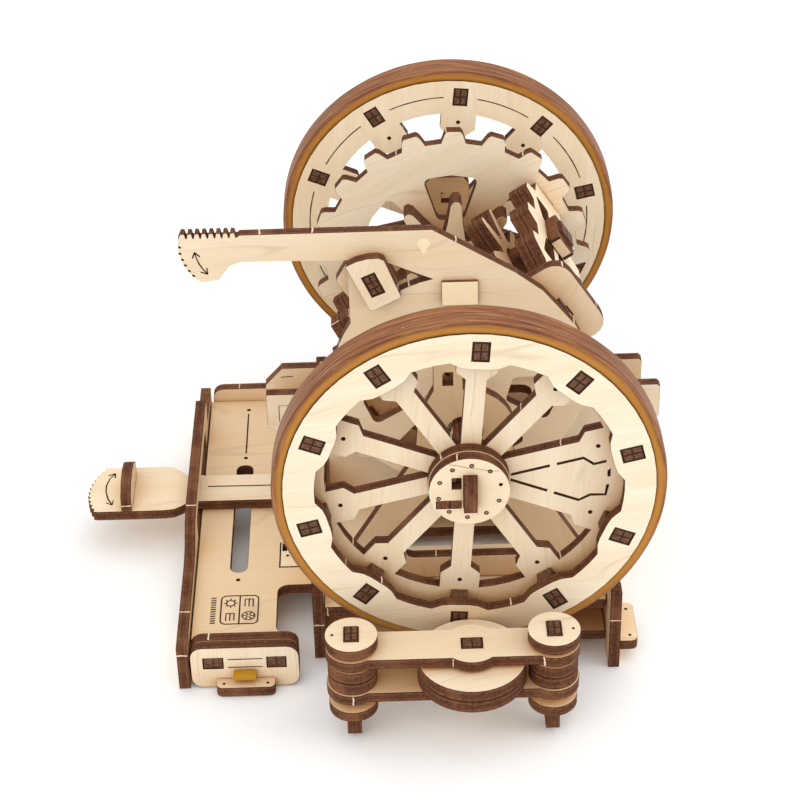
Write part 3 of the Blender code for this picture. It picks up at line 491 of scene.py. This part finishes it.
def soften(obj, width=0.09):
    """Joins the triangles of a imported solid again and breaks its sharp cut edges."""
    weld = obj.modifiers.new("weld", "WELD")
    weld.merge_threshold = 0.002 * MM
    flat = obj.modifiers.new("flat", "DECIMATE")
    flat.decimate_type = "DISSOLVE"
    flat.angle_limit = math.radians(0.6)
    flat.delimit = {"MATERIAL"}
    bevel = obj.modifiers.new("bevel", "BEVEL")
    bevel.width = width * MM
    bevel.segments = 1
    bevel.limit_method = "ANGLE"
    bevel.angle_limit = math.radians(55)
    bevel.use_clamp_overlap = True
    bevel.material = 1
    split = obj.modifiers.new("split", "EDGE_SPLIT")
    split.split_angle = math.radians(32)


# ---------------------------------------------------------------- small pieces


class Piece:
    """Faces collected in millimetres from the hub, made into one object that rides on a body."""

    def __init__(self):
        self.points = []
        self.faces = []
        self.grain = []

    def add(self, corners, shift=0.0, axes=None):
        u, v, w = axes or (Vector((1, 0, 0)), Vector((0, 1, 0)), Vector((0, 0, 1)))
        start = len(self.points)
        self.points.extend(corners)
        self.faces.append(list(range(start, start + len(corners))))
        for p in corners:
            self.grain.append((p.dot(u) + shift, p.dot(v) + shift, p.dot(w)))

    def make(self, name, material, body, finish="birch_ply", smooth=False, tone_and_shade=0.15):
        mesh = bpy.data.meshes.new(name)
        mesh.from_pydata([at(*p) for p in self.points], [], self.faces)
        mesh.materials.append(material)
        set_vector(mesh, "grain", self.grain)
        set_tone_and_shade(mesh, tone_and_shade)
        if smooth:
            mesh.shade_smooth()
        obj = bpy.data.objects.new(name, mesh)
        bpy.context.scene.collection.objects.link(obj)
        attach(obj, body)
        return obj


def add_block(piece, centre, u, v, n, size, low, high, taper=0.12, shift=0.0):
    """A low block with sloped sides, standing on the plane through centre with normal n."""
    half_u, half_v = size[0] / 2, size[1] / 2
    rings = []
    for level, inset in ((low, 0.0), (high - taper, 0.0), (high, taper)):
        ring = []
        for su, sv in ((-1, -1), (1, -1), (1, 1), (-1, 1)):
            ring.append(centre + u * su * (half_u - inset) + v * sv * (half_v - inset) + n * level)
        rings.append(ring)
    axes = (u, v, n)
    for here, there in zip(rings, rings[1:]):
        for i in range(4):
            j = (i + 1) % 4
            piece.add([here[i], here[j], there[j], there[i]], shift, axes)
    piece.add(rings[-1], shift, axes)


def add_cells(piece, soot, centre, u, v, n, size, count, low, high, pick):
    """The end of a glued pin: a grid of small charred squares on a black ground."""
    gap = 0.26
    half_u, half_v = u * size[0] / 2, v * size[1] / 2
    ground = centre + n * 0.012
    near = ground - half_v
    far = ground + half_v
    soot.add([near - half_u, near + half_u, far + half_u, far - half_u])
    cell_u = (size[0] - gap * (count[0] + 1)) / count[0]
    cell_v = (size[1] - gap * (count[1] + 1)) / count[1]
    for i in range(count[0]):
        for k in range(count[1]):
            place = centre + u * ((i + 0.5) * (cell_u + gap) + gap / 2 - size[0] / 2)
            place = place + v * ((k + 0.5) * (cell_v + gap) + gap / 2 - size[1] / 2)
            add_block(piece, place, u, v, n, (cell_u, cell_v), low, high, 0.12, pick.uniform(0, 400))


def on_plane(plane, level, out):
    """Maps a drawing in two coordinates onto a plate's face, h millimetres proud of it."""
    def place(a, b, h=0.03):
        if plane == "Y":
            return Vector((a, level + out * h, b))
        if plane == "Z":
            return Vector((a, b, level + out * h))
        return Vector((level + out * h, a, b))
    return place


def add_stroke(piece, place, points, wide, closed=False, pick=None):
    """An engraved line along points, with a slightly uneven width."""
    count = len(points)
    sides = []
    for i, p in enumerate(points):
        before = points[i - 1] if closed or i else p
        after = points[(i + 1) % count] if closed or i < count - 1 else p
        run = Vector((after[0] - before[0], after[1] - before[1])).normalized()
        half = wide / 2 * (pick.uniform(0.8, 1.15) if pick else 1.0)
        side = Vector((-run.y, run.x)) * half
        sides.append((place(p[0] + side.x, p[1] + side.y), place(p[0] - side.x, p[1] - side.y)))
    for i in range(count if closed else count - 1):
        here = sides[i]
        there = sides[(i + 1) % count]
        piece.add([here[0], here[1], there[1], there[0]])


def bow(centre, radius, start, end, count):
    """Points on an arc, angles in degrees from the first axis."""
    points = []
    for i in range(count + 1):
        a = math.radians(start + (end - start) * i / count)
        points.append((centre[0] + radius * math.cos(a), centre[1] + radius * math.sin(a)))
    return points


def add_double_arrow(piece, place, points, wide, head, pick):
    add_stroke(piece, place, points, wide, pick=pick)
    for tip, inner in ((points[0], points[1]), (points[-1], points[-2])):
        back = Vector((inner[0] - tip[0], inner[1] - tip[1])).normalized() * head
        for turn in (32.0, -32.0):
            c = math.cos(math.radians(turn))
            s = math.sin(math.radians(turn))
            end = (tip[0] + back.x * c - back.y * s, tip[1] + back.x * s + back.y * c)
            add_stroke(piece, place, [tip, end], wide, pick=pick)


def add_nib(piece, foot, out, through, low, pick):
    """A pale torn line across one sheet's edge, where it was held in its sheet."""
    side = through.cross(out).normalized()
    drift = pick.uniform(-0.1, 0.1)
    wide = pick.uniform(0.13, 0.24)
    rings = []
    for k in range(6):
        level = low + 0.1 + (SHEET - 0.2) * k / 5
        drift += pick.uniform(-0.09, 0.09)
        half = wide * pick.uniform(0.7, 1.25)
        centre = foot + side * drift + through * level
        rings.append((centre - side * half, centre - side * half * 0.6 + out * 0.08,
                      centre + side * half * 0.6 + out * 0.08, centre + side * half))
    for here, there in zip(rings, rings[1:]):
        for k in range(3):
            piece.add([here[k], here[k + 1], there[k + 1], there[k]])


def add_nibs(piece, node, bridges, through, base, height, sheets):
    pick = random.Random(node + " bridges")
    total = sum(area for area, _, _ in bridges) / MM / MM
    taken = []
    for sheet in range(sheets):
        for _ in range(round(total / height / 34.0)):
            mark = pick.uniform(0, total)
            for area, corners, out in bridges:
                mark -= area / MM / MM
                if mark <= 0:
                    break
            a = pick.random()
            b = pick.random() * (1 - a)
            foot = corners[0] * (1 - a - b) + corners[1] * a + corners[2] * b
            foot = foot - through * foot.dot(through)
            if any((foot - other).length < 11.0 for other in taken):
                continue
            taken.append(foot)
            step = height / sheets
            add_nib(piece, foot, out, through, base + sheet * step + (step - SHEET) / 2, pick)


def dress_all_plates():
    nibs = {}
    for node in NODES:
        if "tyre" in node or "bumper" in node:
            continue
        bridges, through, base, height, sheets = dress_plate(node, CARD if node.endswith("_pad") else FACE)
        if bridges and node not in PINS and not node.endswith("_pad"):
            piece = nibs.setdefault(BODY_OF[node], Piece())
            add_nibs(piece, node, bridges, through, base, height, sheets)
    for body, piece in nibs.items():
        if piece.faces:
            piece.make(body + "_torn_bridges", TORN, body)


# ---------------------------------------------------------------- tyres and bumper


def rounded_profile(wide, inner, outer):
    """Half-flattened band section: across the tread and its radius."""
    points = [(0.25, inner + 0.02), (0.12, inner + 0.8), (0.10, outer - 1.05)]
    points += [(0.22, outer - 0.62), (0.48, outer - 0.30), (0.86, outer - 0.10), (1.4, outer)]
    flat = [(2.2 + (wide - 4.4) * k / 6, outer) for k in range(7)]
    return points + flat + [(wide - y, r) for y, r in points[::-1]]


def add_tyre(side):
    """The rubber band round a wheel: pulled slightly uneven, with rolled rims."""
    node = side + "_tyre"
    low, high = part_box(node)
    low = offset(low)
    high = offset(high)
    outer = (high.x - low.x) / 2
    inner = outer - 2.86
    wide = high.y - low.y
    profile = rounded_profile(wide, inner, outer)
    pick = random.Random(node)
    waves = [(n, pick.uniform(0, 6.28), pick.uniform(0.3, 1.0) * size) for n, size in
             ((3, 0.10), (5, 0.09), (8, 0.08), (13, 0.05), (21, 0.03), (34, 0.015))]
    total = sum(size for _, _, size in waves)
    count = 288
    piece = Piece()
    rings = []
    for i in range(count):
        a = 2 * math.pi * i / count
        dip = total - sum(size * math.sin(n * a + start) for n, start, size in waves)
        lean = 0.06 * math.sin(7 * a + waves[0][1]) + 0.05 * math.sin(17 * a + waves[1][1])
        ring = []
        for y, r in profile:
            share = max(0.0, (r - inner - 0.4) / 2.18)
            radius = r - share * dip * 0.5
            centre_pull = (y / wide - 0.5) * -2.0 * abs(lean)
            ring.append((a, radius, y + centre_pull * share))
        rings.append(ring)
    steps = len(profile)
    for i in range(count):
        here = rings[i]
        there = rings[(i + 1) % count]
        turn = 2 * math.pi if i == count - 1 else 0.0
        for k in range(steps):
            m = (k + 1) % steps
            next_k = (there[k][0] + turn, *there[k][1:])
            next_m = (there[m][0] + turn, *there[m][1:])
            corners = [here[k], next_k, next_m, here[m]]
            start = len(piece.points)
            for a, r, y in corners:
                piece.points.append(Vector((r * math.sin(a), low.y + y, r * math.cos(a))))
                piece.grain.append((a * outer, y * 9.6 / wide, r - inner))
            piece.faces.append([start, start + 1, start + 2, start + 3])
    band = piece.make(side + "_rubber_band", RUBBER, BODY_OF[node], "amber_rubber", smooth=True, tone_and_shade=0.0)
    weld = band.modifiers.new("weld", "WELD")
    weld.merge_threshold = 0.004 * MM
    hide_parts(node)


def add_bumper():
    node = "tray_bumper_front"
    low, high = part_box(node)
    mesh = bpy.data.meshes.new("tray_bumper")
    bm = bmesh.new()
    bmesh.ops.create_cube(bm, size=1.0)
    size = high - low
    for vert in bm.verts:
        vert.co = Vector((vert.co.x * size.x, vert.co.y * size.y, vert.co.z * size.z))
    bmesh.ops.bevel(bm, geom=bm.edges[:], offset=0.42 * MM, segments=3, profile=0.6, affect="EDGES")
    bmesh.ops.subdivide_edges(bm, edges=bm.edges[:], cuts=1, use_grid_fill=True)
    for vert in bm.verts:
        pull = 0.05 * math.sin(vert.co.x / MM * 3.1) + 0.04 * math.sin(vert.co.x / MM * 7.7 + 1.0)
        vert.co.y *= 0.97 - abs(pull)
        vert.co.z *= 0.97 - abs(pull) * 0.6
    bm.to_mesh(mesh)
    bm.free()
    mesh.shade_smooth()
    mesh.materials.append(RUBBER)
    rows = []
    for loop in mesh.loops:
        p = mesh.vertices[loop.vertex_index].co / MM
        rows.append((p.x * 2.0, p.z * 0.2, 0.0))
    set_vector(mesh, "grain", rows)
    set_tone_and_shade(mesh, 1.0)
    obj = bpy.data.objects.new("tray_bumper", mesh)
    obj.location = (low + high) / 2
    bpy.context.scene.collection.objects.link(obj)
    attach(obj, BODY_OF[node])
    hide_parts(node)


# ---------------------------------------------------------------- pin ends and tenons

LEFT = Vector((1, 0, 0))
BACK = Vector((0, 1, 0))
UP = Vector((0, 0, 1))


def clock(radius, angle):
    return radius * math.sin(angle), radius * math.cos(angle)


def add_wheel_ends(side):
    """Pin ends on both faces of a wheel, and the tabs of the hidden spacer between ring and spokes."""
    node = side + "_rim_pins"
    low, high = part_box(node)
    low = offset(low)
    high = offset(high)
    ends = Piece()
    soot = Piece()
    tabs = Piece()
    pick = random.Random(node)
    for i in range(10):
        a = RIM_PHASE[side] + i * math.pi / 5
        x, z = clock(RIM_PIN_RADIUS, a)
        radial = Vector((math.sin(a), 0, math.cos(a)))
        tangent = Vector((math.cos(a), 0, -math.sin(a)))
        for level, out in ((low.y, -BACK), (high.y, BACK)):
            centre = Vector((x, level, z))
            add_cells(ends, soot, centre, radial, tangent, out, RIM_PIN, (2, 2), -0.2, 0.07, pick)
        x, z = clock(SPACER_TAB_RADIUS, a)
        centre = Vector((x, (low.y + high.y) / 2, z))
        for out in (-BACK, BACK):
            add_block(tabs, centre, radial, tangent, out, (2.6, 4.2), 0.0, 1.5, 0.12, pick.uniform(0, 90))
    ends.make(side + "_pin_ends", END, BODY_OF[node])
    soot.make(side + "_pin_soot", CHAR, BODY_OF[node])
    tabs.make(side + "_spacer_tabs", END, BODY_OF[node])


def add_truck_ends():
    ends = Piece()
    soot = Piece()
    pick = random.Random("truck")
    for side in ("left", "right"):
        low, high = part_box("truck_post_" + side)
        centre = middle("truck_post_" + side)
        head = Vector((centre.x, centre.y, offset(high).z))
        add_cells(ends, soot, head, LEFT, BACK, UP, POST_PIN, (2, 2), -0.1, 0.08, pick)
        foot = Vector((centre.x, centre.y, offset(low).z))
        add_cells(ends, soot, foot, LEFT, BACK, -UP, POST_PIN, (2, 2), -0.1, 0.08, pick)
    low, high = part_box("truck_roller_pin")
    centre = middle("truck_roller_pin")
    top = Vector((centre.x, centre.y, offset(high).z))
    add_cells(ends, soot, top, LEFT, BACK, UP, ROLLER_PIN, (2, 1), -0.1, 0.08, pick)
    under = Vector((centre.x, centre.y, offset(low).z))
    add_cells(ends, soot, under, LEFT, BACK, -UP, ROLLER_PIN, (2, 1), -0.1, 0.08, pick)
    ends.make("truck_pin_ends", END, "base")
    soot.make("truck_pin_soot", CHAR, "base")


def add_lever_ends():
    ends = Piece()
    soot = Piece()
    pick = random.Random("lever")
    u = Vector((math.cos(SHOE_PIN_TURN), 0, math.sin(SHOE_PIN_TURN)))
    v = Vector((-math.sin(SHOE_PIN_TURN), 0, math.cos(SHOE_PIN_TURN)))
    low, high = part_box("upper_lever_shoe_rear")
    for level, out in ((offset(low).y, -BACK), (offset(high).y, BACK)):
        centre = Vector((SHOE_PIN_AT[0], level, SHOE_PIN_AT[1]))
        add_cells(ends, soot, centre, u, v, out, SHOE_PIN, (2, 3), -0.1, 0.06, pick)
    ends.make("lever_pin_ends", END, "upper_lever")
    soot.make("lever_pin_soot", CHAR, "upper_lever")


def add_spider_ends():
    ends = Piece()
    soot = Piece()
    pick = random.Random("spider")
    up = Vector((-TILT.z, 0, TILT.x))
    for node in ("spider_axle_a", "spider_axle_b"):
        centre = middle(node)
        way = 1 if centre.dot(TILT) > 0 else -1
        end = Vector((0, centre.y, 0)) + TILT * SPIDER_PIN_REACH * way
        add_cells(ends, soot, end, BACK, up, TILT * way, SPIDER_PIN, (2, 2), -0.1, 0.05, pick)
    ends.make("spider_pin_ends", END, "cage")
    soot.make("spider_pin_soot", CHAR, "cage")


def add_tray_tenons():
    """Tenons of the tray floor that fill the slots of its end plates."""
    ends = Piece()
    pick = random.Random("tray")
    front = (offset(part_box("tray_end_front_a")[0]).y, offset(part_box("tray_end_front_b")[1]).y)
    rear = tuple(offset(corner).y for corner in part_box("tray_end_rear"))
    for near, far in (front, rear):
        for x0, x1 in TRAY_SLOTS:
            wide = (x1 - x0 - 0.5) / 2
            for k in (0, 1):
                centre = Vector((x0 + 0.2 + wide / 2 + k * (wide + 0.14), (near + far) / 2, TRAY_TENON_Z))
                for out in (-BACK, BACK):
                    add_block(ends, centre, LEFT, UP, out, (wide, 3.4), 0.0, (far - near) / 2 - 0.25, 0.12,
                              pick.uniform(0, 400))
    ends.make("tray_tenons", END, "base")


# ---------------------------------------------------------------- engraved lines


def add_hub_rings(side):
    """Small engraved rings, one left out, and a fine crack on an outer hub disc."""
    low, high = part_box(side + "_hub_disc_outer")
    level, out = (offset(low).y, -1) if side == "front" else (offset(high).y, 1)
    place = on_plane("Y", level, out)
    lines = Piece()
    for i in range(10):
        if i == 2:
            continue
        centre = clock(HUB_RING_RADIUS, math.radians(4.0 + 36.0 * i))
        add_stroke(lines, place, bow(centre, 0.44, 0, 345, 14), 0.36, closed=True)
        add_stroke(lines, place, bow(centre, 0.08, 0, 300, 5), 0.15, closed=True)
    crack = [(-5.0, 8.5), (-2.7, 8.0), (-0.4, 7.35), (2.2, 6.9), (5.1, 6.25), (7.4, 6.15)]
    add_stroke(lines, place, crack, 0.10)
    lines.make(side + "_hub_rings", CHAR, BODY_OF[side + "_hub_disc_outer"])


def add_rear_arcs():
    place = on_plane("Y", offset(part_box("rear_spoke_plate")[0]).y, -1)
    lines = Piece()
    pick = random.Random("arcs")
    for i in range(10):
        start = math.degrees(RIM_PHASE["rear"]) + 36 * i
        add_stroke(lines, place, bow((0, 0), 41.4, 90 - start - 6.8, 90 - start - 29.2, 12), 0.34, pick=pick)
    lines.make("rear_rim_lines", CHAR, "rear_wheel")


def add_lever_lines():
    pick = random.Random("lever lines")
    place = on_plane("Y", offset(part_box("upper_lever")[0]).y, -1)
    lines = Piece()
    arrow = [(-68.2, 41.6), (-67.8, 39.8), (-67.2, 38.1), (-66.3, 36.5), (-65.2, 35.0)]
    add_double_arrow(lines, place, arrow, 0.36, 1.9, pick)
    left_edge = [(-71.9, 43.1), (-71.9, 41.2), (-71.4, 39.4), (-70.8, 37.7), (-69.9, 36.0), (-68.9, 34.5)]
    for x, z in left_edge:
        add_stroke(lines, place, [(x - 0.30, z + 0.35), (x + 0.35, z - 0.1)], 0.55)
    add_stroke(lines, place, [(27.6, 22.4), (29.6, 19.4)], 0.5)
    lines.make("upper_lever_lines", CHAR, "upper_lever")
    patch = Piece()
    outline = bow((-9.4, 42.3), 1.65, -62, 242, 20) + [(-10.0, 39.7), (-9.4, 39.3), (-8.8, 39.7)]
    patch.add([place(x, z, 0.03) for x, z in outline])
    patch.make("upper_lever_patch", CARD, "upper_lever", tone_and_shade=0.0)

    place = on_plane("Z", offset(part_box("lower_lever")[1]).z, 1)
    lines = Piece()
    arrow = [(-99.9, 82.1), (-101.3, 79.6), (-102.0, 76.4), (-101.9, 73.4), (-101.0, 69.8), (-99.6, 66.9)]
    add_double_arrow(lines, place, arrow, 0.42, 2.2, pick)
    add_stroke(lines, place, [(-72.5, 74.5), (-63.0, 74.4), (-54.0, 74.3)], 0.45, pick=pick)
    lines.make("lower_lever_lines", CHAR, "lower_lever")


def add_tray_lines():
    pick = random.Random("tray lines")
    lines = Piece()
    level = offset(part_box("tray_floor")[1]).z
    place = on_plane("Z", level, 1)
    run = [(-62.35, 94.9 + k * 3.45) for k in range(7)]
    add_stroke(lines, place, run, 0.42, pick=pick)
    add_mark(lines, place, pick)
    place = on_plane("Y", offset(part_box("tray_end_front_a")[0]).y, -1)
    for z in (-56.15, -58.9):
        add_stroke(lines, place, [(-64.0, z), (-61.0, z), (-58.0, z), (-54.8, z)], 0.3, pick=pick)
    place = on_plane("Y", offset(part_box("ear_plate_front")[0]).y, -1)
    patch_outline = [(-50.0, -17.9), (-46.4, -17.9), (-46.4, -23.2), (-50.0, -23.2)]
    add_stroke(lines, place, patch_outline, 0.26, closed=True)
    place = on_plane("Y", offset(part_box("ear_plate_rear")[0]).y, -1)
    add_stroke(lines, place, [(-49.6, -15.7), (-46.2, -15.5)], 0.26)
    lines.make("tray_lines", CHAR, "base")


def add_mark(lines, place, pick):
    """A plain generic mark: a rounded frame, a divider, a gear, a wheel and bars, and a row of dashes."""
    x0, x1, y0, y1 = -66.5, -56.4, 16.7, 28.5
    r = 1.5
    outline = []
    corner_arcs = ((x1 - r, y1 - r, 0), (x0 + r, y1 - r, 90), (x0 + r, y0 + r, 180), (x1 - r, y0 + r, 270))
    for cx, cy, start in corner_arcs:
        outline += bow((cx, cy), r, start, start + 90, 6)
    add_stroke(lines, place, outline, 0.42, closed=True, pick=pick)
    add_stroke(lines, place, [(-61.45, y0 + 0.1), (-61.45, 22.6), (-61.45, y1 - 0.1)], 0.42, pick=pick)
    for cx, cy, radius, spokes, reach in ((-63.95, 25.4, 1.15, 8, 1.9), (-58.95, 20.0, 1.7, 6, 0.35)):
        add_stroke(lines, place, bow((cx, cy), radius, 0, 345, 18), 0.36, closed=True, pick=pick)
        for k in range(spokes):
            a = 2 * math.pi * k / spokes
            c, s = math.cos(a), math.sin(a)
            near = (cx + c * radius * 0.9, cy + s * radius * 0.9)
            add_stroke(lines, place, [near, (cx + c * reach, cy + s * reach)], 0.36)
    for cx, cy, size in ((-63.95, 19.6, 1.5), (-58.95, 25.4, 1.6)):
        for k in (-1, 0, 1):
            add_stroke(lines, place, [(cx + k * 1.1, cy - size), (cx + k * 1.1, cy + size)], 0.36, pick=pick)
        add_stroke(lines, place, [(cx - 1.1, cy + size), (cx + 1.1, cy + size)], 0.36)
    for k in range(12):
        y = 17.2 + k * 0.95
        add_stroke(lines, place, [(-69.3, y), (-67.9, y + 0.1)], 0.5, pick=pick)


# ---------------------------------------------------------------- stage, light and camera


def add_floor():
    mesh = bpy.data.meshes.new("floor")
    bm = bmesh.new()
    bmesh.ops.create_grid(bm, x_segments=2, y_segments=2, size=6.0)
    bm.to_mesh(mesh)
    bm.free()
    mesh.materials.append(studio_floor())
    floor = bpy.data.objects.new("floor", mesh)
    floor.location = (0.0, 0.0, GROUND)
    bpy.context.scene.collection.objects.link(floor)


def add_softbox(name, place, aim, wide, tall, power, colour=(1.0, 1.0, 1.0)):
    data = bpy.data.lights.new(name, "AREA")
    data.shape = "RECTANGLE"
    data.size = wide
    data.size_y = tall
    data.energy = power
    data.color = colour
    light = bpy.data.objects.new(name, data)
    light.location = place
    light.rotation_euler = (aim - place).to_track_quat("-Z", "Y").to_euler()
    bpy.context.scene.collection.objects.link(light)


def add_world(strength):
    world = bpy.data.worlds.new("studio")
    world.use_nodes = True
    background = world.node_tree.nodes["Background"]
    background.inputs["Color"].default_value = (1.0, 0.994, 0.988, 1.0)
    background.inputs["Strength"].default_value = strength
    bpy.context.scene.world = world


def add_camera():
    data = bpy.data.cameras.new("camera")
    data.lens = 98.455
    data.sensor_width = 36.0
    data.clip_start = 0.01
    camera = bpy.data.objects.new("camera", data)
    yaw = Matrix.Rotation(-math.radians(0.3879), 4, "Z")
    pitch = Matrix.Rotation(math.radians(90.0 - 34.4738), 4, "X")
    roll = Matrix.Rotation(-math.radians(1.4056), 4, "Z")
    camera.matrix_world = Matrix.Translation(at(-19.672, -435.064, 326.968)) @ yaw @ pitch @ roll
    bpy.context.scene.collection.objects.link(camera)
    bpy.context.scene.camera = camera


dress_all_plates()
for wheel_side in ("front", "rear"):
    add_tyre(wheel_side)
    add_wheel_ends(wheel_side)
    add_hub_rings(wheel_side)
add_bumper()
add_truck_ends()
add_lever_ends()
add_spider_ends()
add_tray_tenons()
add_rear_arcs()
add_lever_lines()
add_tray_lines()

add_floor()
add_camera()
add_world(0.86)
target = (CAD_BOX[0] + CAD_BOX[1]) / 2
add_softbox("key", Vector((-0.55, -0.95, 0.85)), target, 1.2, 1.2, 6.3)
add_softbox("top", Vector((0.25, 0.15, 1.15)), target, 1.2, 1.2, 4.5)
add_softbox("side", Vector((0.95, -0.25, 0.55)), target, 0.6, 0.6, 2.5)
bpy.context.scene.view_settings.view_transform = "Standard"
